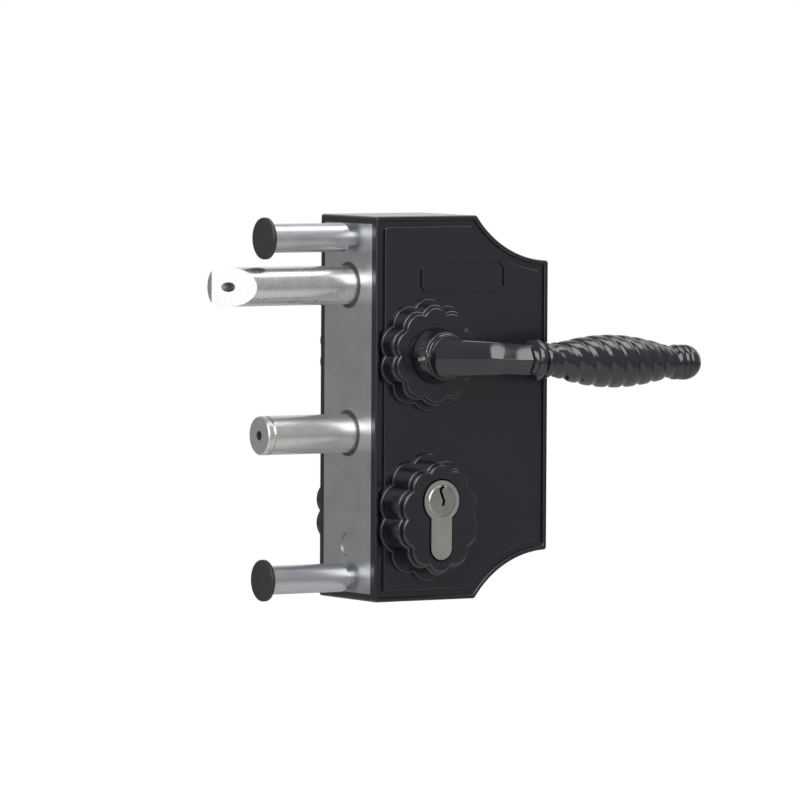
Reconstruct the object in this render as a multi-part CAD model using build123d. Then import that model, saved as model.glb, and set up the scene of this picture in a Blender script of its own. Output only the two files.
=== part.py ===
from build123d import *
import math
import os

os.makedirs("parts", exist_ok=True)

# Gate lock for a box-section stile, in millimetres.
# X runs from the stile towards the free edge of the case, Y away from the front, Z up.
# The origin is the centre of the flat side face that bears on the stile.

# Case and its covers
stile_size = 40.0
case_width = 85.0
case_height = 160.0
case_thickness = 44.0
cover_wall = 3.0
corner_radius = 44.5
corner_drop = 19.3
corner_overhang = 1.0
outline_rounding = 1.2
bead_width = 1.9
bead_rounding = 0.7
field_inset = 4.4
field_rounding = 0.5
groove_depth = 1.3

# Where the mechanism sits
backset = 24.5
handle_height = 22.3
handle_to_cylinder = 60.0
handle_to_latch = 28.7
handle_to_deadbolt = 33.0
fixing_spacing = 141.6

# Clearances
running = 0.06
seat = 0.05
free_gap = 0.4
panel_gap = 0.15

# Name panel, left bare
panel_centre_x = 42.0
panel_centre_z = 54.2
panel_length = 41.6
panel_height = 12.9
panel_clip = 2.4
panel_groove = 1.1
panel_groove_depth = 0.7

# Side plate and the cassette of inner plates
side_plate_thickness = 6.0
side_plate_width = 37.0
side_plate_height = 153.6
sheet = 2.0
cassette_width = 25.0
plate_reach = 69.0
plate_top = 64.0
plate_corner_x = 56.0
plate_corner_z = 56.0
corner_gap = 1.0
pillar_radius = 3.5
pillar_places = ((12.0, 34.0), (63.0, 26.0), (63.0, -40.0), (12.0, -46.0))
plate_screw_heights = (-50.0, 5.0, 60.0)
plate_screw_offset = 15.4

# Screws: shank radius, head radius, head height
m3 = (1.5, 2.75, 2.0)
m4 = (2.0, 3.6, 2.4)
m5 = (2.5, 4.6, 2.6)
thread_grip = 5.0
boss_radius = 4.5
countersunk_radius = 4.0
cover_screw_places = ((44.0, 70.5), (44.0, -70.5), (75.2, 51.0), (75.2, -51.0))

# Fixings through the stile
stud_radius = 4.0
stud_head_radius = 5.5
stud_head_height = 2.5
stud_reach = 13.0
barrel_radius = 6.0
barrel_setback = 3.0
barrel_thread_depth = 11.0
barrel_flange_radius = 8.0
barrel_flange_thickness = 0.9
barrel_socket_depth = 9.0
barrel_socket_flats = 6.0
cap_radius = 8.7
cap_thickness = 1.7
cap_rounding = 0.6
cap_plug_length = 6.0

# Latch bolt
bolt_radius = 8.15
latch_reach = 23.3
latch_nose = 3.5
latch_bevel_length = 14.1
latch_hole_radius = 2.0
latch_hole_depth = 12.0
latch_retraction = 17.5
bush_wall = 1.45
bush_flange = 0.7
bush_flange_thickness = 1.5
rod_radius = 4.0
rod_grip = 16.0
lock_nut_flats = 13.0
lock_nut_height = 4.0
latch_tail = 8.0
carriage_wall = 3.5
carriage_width = 18.0
latch_carriage_length = 23.0
latch_carriage_low = 38.0
latch_carriage_high = 60.5
latch_wall_low = 45.4
channel_width = 9.6
guide_pin_radius = 2.5
guide_pin_from_end = 5.0
guide_pin_height = 54.5

# Latch spring
spring_radius = 4.0
spring_wire = 1.1
spring_turns = 9
spring_seat_thickness = 4.0
spring_seat_height = 10.0
spring_stub_length = 4.0

# Handle, spindle and follower
handle_turn = 45.0
arm_rest_angle = -8.0
spindle_side = 8.0
spindle_end = 38.9
follower_radius = 10.0
journal_radius = 7.0
arm_radius = 23.5
arm_width = 8.0
arm_thickness = 8.4
drive_pin_radius = 3.0
drive_slot_play = 0.7

# Lever handle: the hub
hub_radius = 11.85
hub_neck_radius = 9.9
hub_cone_length = 7.0
hub_bead_radius = 9.65
hub_bead_length = 1.7
post_radius = 9.0
post_end = 41.0
post_chamfer = 0.8
spigot_radius = 8.0

# Lever handle: the neck, which leaves the hub along the case and bends outwards to the grip
arm_droop = 2.0
rear_arm_droop = 3.5
arm_drop = 0.4
neck_start_height = 7.9
neck_end_height = 6.1
neck_start_flat = 3.6
neck_end_flat = 2.8
neck_crease = 0.41
neck_crown = 0.9
neck_bend_angle = 55.0
neck_end_angle = 30.0
neck_bend_radius = 14.0
neck_bend_steps = 7

# Lever handle: the grip, as places along its own axis and radii there
grip_start_x = 58.8
grip_start_y = 51.0
grip_sweep_back = 4.0
grip_root = (-3.0, 5.6)
grip_rings = ((0.4, 8.7, 2.2, 6.6), (5.4, 7.6, 1.9, 6.3))
grip_swell = ((9.2, 6.4), (21.9, 9.5), (40.4, 11.1), (56.2, 9.7), (71.5, 6.4))
knob_rings = ((74.2, 7.4, 1.7, 6.7), (77.4, 7.4, 1.2, 6.9))
knob_dome = (79.2, 7.4)
knob_tip_flat = 0.6
grub_radius = 3.0
grub_length = 6.0
grub_sink = 0.6
grub_socket_flats = 3.0
grub_socket_depth = 2.5
grub_height = 35.7

# Rosettes: each tier is half width, half height, depth of its cusps, height above the cover and rounding
lobes = 10
handle_rosette_tiers = (
    (23.6, 23.4, 2.5, 2.0, 0.6),
    (21.4, 21.2, 2.3, 6.9, 0.9),
    (19.6, 19.8, 2.1, 8.0, 0.9),
)
cylinder_rosette_tiers = (
    (23.6, 26.5, 2.5, 2.0, 0.6),
    (20.5, 23.6, 2.3, 10.6, 0.9),
    (18.8, 22.5, 2.1, 12.5, 1.2),
)
bush_radius = 10.5
rosette_screw_spread = 14.0
cylinder_screw_spread = 20.7
cylinder_rosette_rise = 0.6
rosette_gap = 0.7

# Profile cylinder
profile_radius = 8.5
profile_web = 10.0
profile_height = 33.0
cylinder_half_length = 35.0
plug_radius = 6.5
plug_tail_radius = 4.0
plug_proud = 0.3
keyway_width = 1.2
keyway_depth = 22.0
cam_width = 9.8
cam_hub_radius = 7.9
cam_reach = 15.0
cam_finger = 5.0
cam_turn = 100.0
cam_slot_play = 0.3

# Deadbolt
deadbolt_rest_reach = 3.0
deadbolt_throw = 20.0
deadbolt_rim = 2.4
deadbolt_groove = 1.2
deadbolt_groove_depth = 0.7
deadbolt_hole_radius = 2.0
deadbolt_hole_depth = 10.0
deadbolt_tail = 28.0
deadbolt_carriage_length = 24.0
deadbolt_carriage_rise = 7.0
tab_thickness = 8.0
tab_drop = 18.5
tab_left = 2.0
tab_right = 9.5
notch_width = 9.0
notch_roof = 11.5
deadbolt_pin_from_end = 8.0

# Leaf spring that holds the deadbolt at both ends of its throw
leaf_thickness = 0.8
leaf_width = 10.0
leaf_lift = 0.4
leaf_contact = 2.0

# Worked out from the sizes above
front = -case_thickness / 2
inner_front = front + cover_wall
cylinder_height = handle_height - handle_to_cylinder
profile_centre = cylinder_height + profile_radius - profile_height / 2
latch_height = handle_height + handle_to_latch
deadbolt_height = handle_height - handle_to_deadbolt
corner_x = case_width + corner_overhang
corner_z = case_height / 2 - corner_drop + math.sqrt(corner_radius**2 - corner_overhang**2)
plate_outer = cassette_width / 2
plate_inner = plate_outer - sheet
cylinder_screw_height = cylinder_height + profile_radius - profile_height + profile_web / 2
cylinder_rosette_centre = profile_centre + cylinder_rosette_rise
handle_axis = Axis((backset, 0, handle_height), (0, 1, 0))
cylinder_axis = Axis((backset, 0, cylinder_height), (0, 1, 0))


# Small shape tools
def facing(y):
    """A plane at depth y that looks forwards, with local x along X and local y along Z."""
    return Plane(origin=(0, y, 0), x_dir=(1, 0, 0), z_dir=(0, -1, 0))


def slab(outline, back, fore):
    """A flat outline in X and Z made solid from depth back to depth fore."""
    return extrude(facing(back) * outline, amount=back - fore)


def bar_x(radius, start, end, height, depth=0.0):
    return Pos((start + end) / 2, depth, height) * Rot(0, 90, 0) * Cylinder(radius, end - start)


def bar_y(radius, start, end, x, height):
    return Pos(x, (start + end) / 2, height) * Rot(90, 0, 0) * Cylinder(radius, end - start)


def block(x_range, y_range, z_range):
    spans = [(low + high) / 2 for low, high in (x_range, y_range, z_range)]
    sizes = [high - low for low, high in (x_range, y_range, z_range)]
    return Pos(*spans) * Box(*sizes)


def hexagon_x(flats, start, end, height, depth=0.0):
    """A six-sided bar along X, given across its flats."""
    plane = Plane(origin=(start, depth, height), x_dir=(0, 1, 0), z_dir=(1, 0, 0))
    return extrude(plane * RegularPolygon(flats / 2, 6, major_radius=False), amount=end - start)


def rear_of(shape):
    """The same piece on the other side of the lock."""
    return mirror(shape, about=Plane.XZ)


def keep(name, shape):
    """Write one sub-part, as one solid or as a group of separate solids."""
    solids = shape.solids()
    body = solids[0] if len(solids) == 1 else Compound(children=list(solids))
    body.label = name
    export_step(body, f"parts/{name}.step")


# Case outline: a rectangle whose two free corners are hollow arcs
def corner_arc(inset, sign):
    """One hollow corner, from the top or bottom edge to the free edge."""
    radius = corner_radius + inset
    edge_z = case_height / 2 - inset
    edge_x = case_width - inset
    start = math.atan2(edge_z - corner_z, -math.sqrt(radius**2 - (corner_z - edge_z) ** 2))
    end = math.atan2(-math.sqrt(radius**2 - (corner_x - edge_x) ** 2), edge_x - corner_x)
    angles = (start, (start + end) / 2, end)
    return [(corner_x + radius * math.cos(a), sign * (corner_z + radius * math.sin(a))) for a in angles]


def case_outline(inset=0.0, rounding=outline_rounding):
    top = corner_arc(inset, 1)
    bottom = corner_arc(inset, -1)
    top_left = (inset, case_height / 2 - inset)
    bottom_left = (inset, inset - case_height / 2)
    edges = [
        Line(top_left, top[0]),
        ThreePointArc(*top),
        Line(top[2], bottom[2]),
        ThreePointArc(*reversed(bottom)),
        Line(bottom[0], bottom_left),
        Line(bottom_left, top_left),
    ]
    face = make_face(edges)
    return fillet(face.vertices(), rounding)


def reach_below_corner(wanted, height):
    """How far along X a piece as high as this may reach, before the hollow corner's wall comes down to it."""
    radius = corner_radius + cover_wall + corner_gap
    above = corner_z - height
    if above >= radius:
        return wanted
    return min(wanted, corner_x - math.sqrt(radius**2 - above**2))


def edges_at(shape, depth):
    return shape.edges().filter_by_position(Axis.Y, depth - 0.01, depth + 0.01)


def clipped_panel(grow=0.0):
    """The name panel's outline: a rectangle with its corners cut off."""
    half_x = panel_length / 2 + grow
    half_z = panel_height / 2 + grow
    clip = panel_clip + grow * (2 - math.sqrt(2))
    corners = [
        (half_x, half_z - clip),
        (half_x - clip, half_z),
        (clip - half_x, half_z),
        (-half_x, half_z - clip),
        (-half_x, clip - half_z),
        (clip - half_x, -half_z),
        (half_x - clip, -half_z),
        (half_x, clip - half_z),
    ]
    return Pos(panel_centre_x, panel_centre_z) * make_face(Polyline(*corners, close=True))


def euro_profile(gap=0.0):
    """Section of a profile cylinder: a round head on a web with a round foot."""
    foot = profile_height - profile_radius - profile_web / 2
    shape = Circle(profile_radius + gap)
    shape += Pos(0, -foot / 2) * Rectangle(profile_web + 2 * gap, foot)
    shape += Pos(0, -foot) * Circle(profile_web / 2 + gap)
    return Pos(backset, cylinder_height) * shape


# Covers
def cover_shell():
    """The front cover's shell: groove floor, raised field, rim bead and name panel."""
    floor = front + groove_depth
    shell = slab(case_outline(), 0, floor)
    bead = slab(case_outline() - case_outline(bead_width), floor, front)
    shell += fillet(edges_at(bead, front), bead_rounding)
    field = slab(case_outline(field_inset), floor, front)
    shell += fillet(edges_at(field, front), field_rounding)
    groove = clipped_panel() - clipped_panel(-panel_groove)
    shell -= slab(groove, front + panel_groove_depth, front - 1)
    shell -= slab(case_outline(cover_wall), 1, inner_front)
    half_width = side_plate_width / 2 + seat
    half_height = side_plate_height / 2 + seat
    x_range = (-1, side_plate_thickness + panel_gap)
    shell -= block(x_range, (-half_width, 1), (-half_height, half_height))
    for x, z in cover_screw_places:
        shell += bar_y(boss_radius, inner_front, 0, x, z) & slab(case_outline(), 0, front)
    shell -= bar_y(bush_radius + seat, front - 1, inner_front + 1, backset, handle_height)
    shell -= slab(euro_profile(2 * panel_gap), inner_front + 1, front - 1)
    for x, z in rosette_screw_places():
        shell -= bar_y(m3[0] + panel_gap, front - 1, inner_front + 1, x, z)
    return shell


def rosette_screw_places():
    handle = [(backset, handle_height + side * rosette_screw_spread) for side in (1, -1)]
    cylinder = [(backset, cylinder_rosette_centre + side * cylinder_screw_spread) for side in (1, -1)]
    return handle + cylinder


def front_cover(shell):
    cover = shell
    for x, z in cover_screw_places:
        cover -= bar_y(m4[0], inner_front + 2, 1, x, z)
    return cover


def rear_cover(shell):
    """The rear cover takes the screws, with their countersunk heads flush in its face."""
    cover = rear_of(shell)
    for x, z in cover_screw_places:
        cover -= bar_y(m4[0] + panel_gap, -1, -front + 1, x, z)
        cover -= countersink(x, z, countersunk_radius + seat)
    return cover


def countersink(x, z, radius):
    """A cone that opens out at the rear cover's face."""
    cone = Cone(radius, m4[0], radius - m4[0], align=(Align.CENTER, Align.CENTER, Align.MIN))
    return Pos(x, -front, z) * Rot(90, 0, 0) * cone


def cover_screws():
    screws = []
    for x, z in cover_screw_places:
        shank = bar_y(m4[0] - seat, inner_front + 3, -front - 1, x, z)
        head = countersink(x, z, countersunk_radius)
        socket = Pos(x, -front, z) * Rot(90, 0, 0) * extrude(RegularPolygon(1.4, 6), amount=1.4)
        screws.append(shank + head - socket)
    return Compound(children=screws)


# Rosettes
def lobed(half_width, half_height, cusp_depth, centre_z):
    """A flat outline of round lobes on an oval, one of them at the top."""
    def place(step, depth):
        angle = math.radians(90 + step * 360 / lobes)
        return (half_width - depth) * math.cos(angle), (half_height - depth) * math.sin(angle)

    arcs = []
    for index in range(lobes):
        crest = place(index, 0)
        arcs.append(ThreePointArc(place(index - 0.5, cusp_depth), crest, place(index + 0.5, cusp_depth)))
    return Pos(backset, centre_z) * make_face(arcs)


def stepped_rosette(tiers, centre_z):
    """A lobed flange, a wall and a face stacked forwards from the cover, each with a rounded front edge."""
    body = None
    back = front
    for half_width, half_height, cusp_depth, end, rounding in tiers:
        tier = slab(lobed(half_width, half_height, cusp_depth, centre_z), back, front - end)
        tier = fillet(edges_at(tier, front - end), rounding)
        body = tier if body is None else body + tier
        back = front - end
    return body


def handle_rosette():
    body = stepped_rosette(handle_rosette_tiers, handle_height)
    body -= bar_y(bush_radius + seat, 2 * front, front + 1, backset, handle_height)
    for x, z in rosette_screw_places()[:2]:
        body -= bar_y(m3[0], front - thread_grip - 0.5, front + 1, x, z)
    return body


def cylinder_rosette():
    body = stepped_rosette(cylinder_rosette_tiers, cylinder_rosette_centre)
    body -= slab(euro_profile(rosette_gap), front + 1, 2 * front)
    for x, z in rosette_screw_places()[2:]:
        body -= bar_y(m3[0], front - thread_grip - 0.5, front + 1, x, z)
    return body


def rosette_screws():
    """Pan-head screws that hold both rosettes from inside the cover."""
    screws = []
    for x, z in rosette_screw_places():
        shank = bar_y(m3[0] - seat, front - thread_grip, inner_front, x, z)
        head = bar_y(m3[1], inner_front, inner_front + m3[2], x, z)
        screws.append(shank + head)
    return Compound(children=screws)


def handle_bush():
    """The ring in the rosette and cover that the handle's spigot turns in."""
    ends = (front - handle_rosette_tiers[-1][3] + free_gap, inner_front)
    ring = bar_y(bush_radius, *ends, backset, handle_height)
    return ring - bar_y(spigot_radius + running, ends[0] - 1, ends[1] + 1, backset, handle_height)


# Side plate, guide bushes and the fixings through the stile
def side_plate():
    half_width = side_plate_width / 2
    half_height = side_plate_height / 2
    plate = block((0, side_plate_thickness), (-half_width, half_width), (-half_height, half_height))
    through = (-1, side_plate_thickness + 1)
    for height in (latch_height, deadbolt_height):
        plate -= bar_x(bolt_radius + bush_wall + running + seat, *through, height)
    for height in fixing_heights():
        plate -= bar_x(stud_radius, *through, height)
    plate -= bar_x(m5[0] + panel_gap, *through, cylinder_screw_height)
    plate -= bar_x(m5[1] + panel_gap, -1, m5[2] + free_gap, cylinder_screw_height)
    for side in (1, -1):
        for height in plate_screw_heights:
            screw_end = side_plate_thickness - thread_grip + 0.5
            plate -= bar_x(m3[0], screw_end, side_plate_thickness + 1, height, side * plate_screw_offset)
    return plate


def fixing_heights():
    return (fixing_spacing / 2, -fixing_spacing / 2)


def guide_bush(height):
    """Flanged bearing in the side plate for a round bolt."""
    outer = bolt_radius + bush_wall + running
    flange_end = side_plate_thickness + bush_flange_thickness
    bush = bar_x(outer, 0, side_plate_thickness, height)
    bush += bar_x(outer + bush_flange, side_plate_thickness, flange_end, height)
    return bush - bar_x(bolt_radius + running, -1, flange_end + 1, height)


def fixing_studs():
    """Headed studs pressed through the side plate from inside."""
    studs = []
    head_end = side_plate_thickness + stud_head_height
    for height in fixing_heights():
        shank = bar_x(stud_radius - seat, -stud_reach, side_plate_thickness, height)
        studs.append(shank + bar_x(stud_head_radius, side_plate_thickness, head_end, height))
    return Compound(children=studs)


def barrel_nuts():
    """Flanged round nuts that run through the stile, with a hexagon socket in the flange."""
    nuts = []
    flange_face = -stile_size - barrel_flange_thickness
    for height in fixing_heights():
        nut = bar_x(barrel_radius, -stile_size, -barrel_setback, height)
        nut += bar_x(barrel_flange_radius, flange_face, -stile_size, height)
        nut -= bar_x(stud_radius, -barrel_setback - barrel_thread_depth, 0, height)
        nut -= hexagon_x(barrel_socket_flats, flange_face - 1, flange_face + barrel_socket_depth, height)
        nuts.append(nut)
    return Compound(children=nuts)


def stile_caps():
    """Plastic caps over the barrel nuts: a slightly domed cup and a plug in the socket."""
    caps = []
    face = -stile_size - cap_thickness
    flange_face = -stile_size - barrel_flange_thickness
    for height in fixing_heights():
        cup = bar_x(cap_radius, face, -stile_size, height)
        cup = fillet(cup.edges().filter_by_position(Axis.X, face - 0.01, face + 0.01), cap_rounding)
        cup -= bar_x(barrel_flange_radius + seat, flange_face, 0, height)
        plug_end = flange_face + cap_plug_length
        caps.append(cup + bar_x(barrel_socket_flats / 2 - seat, flange_face, plug_end, height))
    return Compound(children=caps)


# Cassette: two inner plates, their pillars and screws
def plate_outline():
    corner = reach_below_corner(plate_corner_x, plate_top)
    end = reach_below_corner(plate_reach, plate_corner_z)
    corners = [
        (side_plate_thickness, plate_top),
        (corner, plate_top),
        (end, plate_corner_z),
        (end, -plate_corner_z),
        (corner, -plate_top),
        (side_plate_thickness, -plate_top),
    ]
    return make_face(Polyline(*corners, close=True))


def guide_slot(x, height, travel):
    """A slot for a guide pin that starts at x and moves by travel."""
    radius = guide_pin_radius + 2 * running
    centre = x + travel / 2
    return Pos(centre, height) * SlotOverall(abs(travel) + 2 * radius, 2 * radius)


def inner_plate():
    """The front inner plate: a sheet with a flange bent outwards against the side plate."""
    plate = slab(plate_outline(), -plate_inner, -plate_outer)
    flange_x = (side_plate_thickness, side_plate_thickness + sheet)
    flange_y = (-side_plate_width / 2, -plate_inner)
    plate += block(flange_x, flange_y, (-plate_top, plate_top))
    cuts = guide_slot(latch_pin_x(), guide_pin_height, latch_retraction)
    cuts += guide_slot(deadbolt_pin_x(), deadbolt_height, -deadbolt_throw)
    cuts += Pos(backset, handle_height) * Circle(journal_radius + running)
    cuts += euro_profile(2 * panel_gap)
    for x, z in pillar_places:
        cuts += Pos(x, z) * Circle(m4[0] + seat)
    plate -= slab(cuts, 0, -plate_outer - 1)
    for height in plate_screw_heights:
        plate -= bar_x(m3[0] + seat, 0, side_plate_thickness + sheet + 1, height, -plate_screw_offset)
    return plate


def plate_pillars():
    """Spacers between the inner plates, with shouldered ends riveted through them."""
    pillars = []
    for x, z in pillar_places:
        pillar = bar_y(pillar_radius, -plate_inner, plate_inner, x, z)
        pillars.append(pillar + bar_y(m4[0], -plate_outer, plate_outer, x, z))
    return Compound(children=pillars)


def plate_screws():
    screws = []
    head_start = side_plate_thickness + sheet
    for side in (1, -1):
        for height in plate_screw_heights:
            depth = side * plate_screw_offset
            shank_end = side_plate_thickness - thread_grip + 1
            shank = bar_x(m3[0] - seat, shank_end, head_start, height, depth)
            screws.append(shank + bar_x(m3[1], head_start, head_start + m3[2], height, depth))
    return Compound(children=screws)


# Latch bolt, its rod, carriage and spring
def latch_tip():
    return -stile_size - latch_reach


def latch_bolt():
    bolt = bar_x(bolt_radius, latch_tip(), latch_tail, latch_height)
    bevel = Polyline(
        (latch_tip(), bolt_radius - latch_nose),
        (latch_tip() + latch_bevel_length, -bolt_radius),
        (latch_tip() + latch_bevel_length, -2 * bolt_radius),
        (latch_tip() - 1, -2 * bolt_radius),
        (latch_tip() - 1, bolt_radius - latch_nose),
        close=True,
    )
    cutter = extrude(Plane.XY.offset(latch_height - 2 * bolt_radius) * make_face(bevel), amount=4 * bolt_radius)
    bolt -= cutter
    bolt -= bar_x(latch_hole_radius, latch_tip() - 1, latch_tip() + latch_hole_depth, latch_height)
    bolt -= bar_x(rod_radius, latch_tail - rod_grip - 1, latch_tail + 1, latch_height)
    return bolt


def lock_nut(start, height):
    nut = hexagon_x(lock_nut_flats, start, start + lock_nut_height, height)
    return nut - bar_x(rod_radius, start - 1, start + lock_nut_height + 1, height)


def latch_carriage_start():
    return latch_tail + free_gap + lock_nut_height


def latch_rod():
    return bar_x(rod_radius - seat, latch_tail - rod_grip, latch_carriage_start() + carriage_wall, latch_height)


def drive_pin_place(angle):
    """Where the follower's pin is when its arm leans by this angle towards the free edge."""
    turn = math.radians(angle)
    return backset + arm_radius * math.sin(turn), handle_height + arm_radius * math.cos(turn)


def latch_pin_x():
    return latch_carriage_start() + latch_carriage_length - guide_pin_from_end


def latch_carriage():
    """A channel over the follower's arm: an end wall for the rod and two slotted cheeks."""
    start = latch_carriage_start()
    end = start + latch_carriage_length
    half = carriage_width / 2
    body = block((start, end), (-half, half), (latch_carriage_low, latch_carriage_high))
    channel = channel_width / 2
    roof = latch_carriage_high - carriage_wall
    body -= block((start + carriage_wall, end + 1), (-channel, channel), (latch_carriage_low - 1, roof))
    body -= block((start - 1, end), (-channel, channel), (latch_carriage_low - 1, latch_wall_low))
    body -= bar_x(rod_radius, start - 1, start + carriage_wall + 1, latch_height)
    pin_x = drive_pin_place(arm_rest_angle)[0]
    slot_half = drive_pin_radius + drive_slot_play
    slot_top = handle_height + arm_radius + slot_half
    body -= block((pin_x - slot_half, pin_x + slot_half), (-half - 1, half + 1), (latch_carriage_low - 1, slot_top))
    body -= bar_y(guide_pin_radius + seat, -half - 1, half + 1, latch_pin_x(), guide_pin_height)
    return body


def guide_pin(x, height):
    reach = plate_outer - free_gap
    return bar_y(guide_pin_radius, -reach, reach, x, height)


def spring_seat_end():
    return reach_below_corner(plate_reach, latch_height + spring_seat_height / 2)


def spring_seat_start():
    return spring_seat_end() - spring_seat_thickness


def spring_seat():
    """The block between the inner plates that the latch spring pushes against."""
    half_height = spring_seat_height / 2
    z_range = (latch_height - half_height, latch_height + half_height)
    body = block((spring_seat_start(), spring_seat_end()), (-plate_inner, plate_inner), z_range)
    stub_radius = spring_radius - spring_wire / 2 - free_gap
    return body + bar_x(stub_radius, spring_seat_start() - spring_stub_length, spring_seat_start(), latch_height)


def latch_spring():
    """A coil spring between the carriage and its seat, resting on both."""
    start = latch_carriage_start() + latch_carriage_length + spring_wire / 2 + 0.1
    length = spring_seat_start() - spring_wire / 2 - 0.1 - start
    path = Helix(pitch=length / spring_turns, height=length, radius=spring_radius)
    section = Plane(origin=path @ 0, z_dir=path % 0) * Circle(spring_wire / 2)
    coil = sweep(section, path=path, is_frenet=True)
    return Pos(start, 0, latch_height) * Rot(0, 90, 0) * coil


# Spindle, follower and lever handles
def square_y(side, reach):
    half = side / 2
    x_range = (backset - half, backset + half)
    return block(x_range, (-reach, reach), (handle_height - half, handle_height + half))


def spindle():
    return square_y(spindle_side, spindle_end)


def follower():
    """Hub on the square spindle, with an arm whose pin drives the latch carriage."""
    hub = bar_y(follower_radius, -plate_inner + free_gap, plate_inner - free_gap, backset, handle_height)
    hub += bar_y(journal_radius, -plate_outer - 1, plate_outer + 1, backset, handle_height)
    half = arm_thickness / 2
    x_range = (backset - arm_width / 2, backset + arm_width / 2)
    arm = block(x_range, (-half, half), (handle_height, handle_height + arm_radius))
    arm += bar_y(arm_width / 2, -half, half, backset, handle_height + arm_radius)
    arm -= bar_y(drive_pin_radius + seat, -half - 1, half + 1, backset, handle_height + arm_radius)
    return hub + arm.rotate(handle_axis, arm_rest_angle) - square_y(spindle_side + 2 * seat, 2 * plate_outer)


def drive_pin():
    x, z = drive_pin_place(arm_rest_angle)
    reach = carriage_width / 2
    return bar_y(drive_pin_radius, -reach, reach, x, z)


def hub_start():
    return front - handle_rosette_tiers[-1][3] - free_gap


def handle_hub():
    """Turned hub: a cone on the rosette, a bead and a round post, with a spigot behind."""
    cone_end = hub_start() - hub_cone_length
    bead_end = cone_end - hub_bead_length
    bead_middle = (cone_end + bead_end) / 2
    back = [
        (0, inner_front + free_gap),
        (spigot_radius, inner_front + free_gap),
        (spigot_radius, hub_start()),
        (hub_radius, hub_start()),
        (hub_neck_radius, cone_end),
        (post_radius, cone_end),
    ]
    fore = [
        (post_radius, bead_end),
        (post_radius, post_chamfer - post_end),
        (post_radius - post_chamfer, -post_end),
        (0, -post_end),
        (0, inner_front + free_gap),
    ]
    bead = ThreePointArc(back[-1], (hub_bead_radius, bead_middle), fore[0])
    profile = make_face([*Polyline(*back).edges(), bead, *Polyline(*fore).edges()])
    return Pos(backset, 0, handle_height) * revolve(profile, Axis.Y)


def neck_start():
    """Where the neck's centre line begins, so that its flats meet the end of the post."""
    return backset - post_radius - 1, neck_start_flat - post_end


def neck_places():
    """Points and headings along the neck's centre line, seen from above, headings in degrees."""
    start_x, start_y = neck_start()
    turn = math.radians(neck_bend_angle)
    end = math.radians(neck_end_angle)
    first_x = neck_bend_radius * math.sin(turn)
    first_y = neck_bend_radius * (1 - math.cos(turn))
    second_x = neck_bend_radius * (math.sin(turn) - math.sin(end))
    second_y = neck_bend_radius * (math.cos(end) - math.cos(turn))
    straight_y = grip_start_y + start_y - first_y - second_y
    bend_x = grip_start_x - first_x - second_x - straight_y / math.tan(turn)
    places = [(start_x, start_y, 0.0), ((start_x + bend_x) / 2, start_y, 0.0)]
    for step in range(neck_bend_steps + 1):
        angle = turn * step / neck_bend_steps
        x = bend_x + neck_bend_radius * math.sin(angle)
        places.append((x, start_y - neck_bend_radius * (1 - math.cos(angle)), -math.degrees(angle)))
    for step in range(neck_bend_steps + 1):
        angle = turn - (turn - end) * step / neck_bend_steps
        x = grip_start_x - neck_bend_radius * (math.sin(angle) - math.sin(end))
        y = -grip_start_y + neck_bend_radius * (math.cos(end) - math.cos(angle))
        places.append((x, y, -math.degrees(angle)))
    return places


def neck_section(half_height, half_flat):
    """Eight-sided section: a crease in front and behind, a low crown above and below."""
    crease = half_flat + half_height * neck_crease
    crown = half_height + neck_crown * (half_flat / neck_start_flat) ** 2
    quarter = [(crease, 0), (half_flat, half_height), (0, crown)]
    upper = quarter + [(-half_flat, half_height), (-crease, 0)]
    lower = [(x, -y) for x, y in reversed(upper[1:-1])]
    return make_face(Polyline(*upper, *lower, close=True))


def handle_neck():
    places = neck_places()
    lengths = [0.0]
    for (x0, y0, _), (x1, y1, _) in zip(places, places[1:]):
        lengths.append(lengths[-1] + math.hypot(x1 - x0, y1 - y0))
    sections = []
    for (x, y, heading), length in zip(places, lengths):
        share = length / lengths[-1]
        half_height = neck_start_height + (neck_end_height - neck_start_height) * share
        half_flat = neck_start_flat + (neck_end_flat - neck_start_flat) * share
        across = math.radians(heading)
        x_dir = (math.sin(across), -math.cos(across), 0)
        plane = Plane(origin=(x, y, 0), x_dir=x_dir, z_dir=(math.cos(across), math.sin(across), 0))
        sections.append(plane * neck_section(half_height, half_flat))
    return Pos(0, 0, handle_height) * loft(sections, ruled=True)


def ring_arc(place, crest, half_length, base):
    """A rounded ring in a turned profile, from its base up to its crest and back."""
    return ThreePointArc((place - half_length, base), (place, crest), (place + half_length, base))


def handle_grip():
    """Double ring, swelling grip and end knob, turned about the grip's own axis."""
    dome_place, dome_radius = knob_dome
    tip_place = dome_place + math.sqrt(dome_radius**2 - knob_tip_flat**2)
    slant = dome_radius / math.sqrt(2)
    parts = [ring_arc(*ring) for ring in grip_rings]
    parts.append(Spline(*grip_swell))
    parts += [ring_arc(*ring) for ring in knob_rings]
    dome_end = (tip_place, knob_tip_flat)
    parts.append(ThreePointArc((dome_place, dome_radius), (dome_place + slant, slant), dome_end))
    parts.append(Line((tip_place, knob_tip_flat), (tip_place, 0)))
    chain = [Line((grip_root[0], 0), grip_root)]
    for part in parts:
        if (chain[-1] @ 1 - part @ 0).length > 1e-6:
            chain.append(Line(chain[-1] @ 1, part @ 0))
        chain.append(part)
    chain.append(Line((tip_place, 0), (grip_root[0], 0)))
    body = revolve(make_face(chain), Axis.X)
    return Pos(grip_start_x, -grip_start_y, handle_height) * Rot(0, 0, grip_sweep_back) * body


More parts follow.
